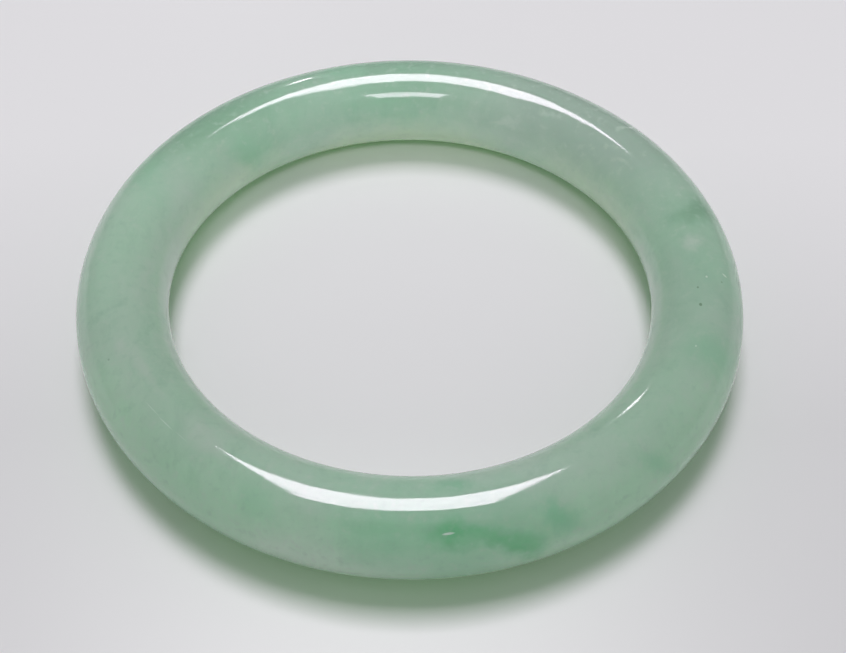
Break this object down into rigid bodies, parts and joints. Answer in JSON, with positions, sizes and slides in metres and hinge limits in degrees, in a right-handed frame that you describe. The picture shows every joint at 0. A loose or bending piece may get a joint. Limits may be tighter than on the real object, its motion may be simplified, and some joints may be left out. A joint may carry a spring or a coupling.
{
  "type": "bangle bracelet",
  "caption": "Plain closed bangle of round bar, cut and polished from solid pale green jade; slips over the hand and hangs loose on the wrist.",
  "frame": {"origin": "middle of the circle on which the bangle rests when it lies flat, straight below the middle of the ring", "axes": "+Z along the ring's axis, away from the surface that the bangle lies on; +X and +Y lie in that surface, and the shape is the same all round"},
  "size_m": [0.0768, 0.0768, 0.0104],
  "materials": {
    "jade": "polished, translucent pale green jade"
  },
  "bodies": {
    "root": {"bangle": "jade"}
  },
  "joints": []
}
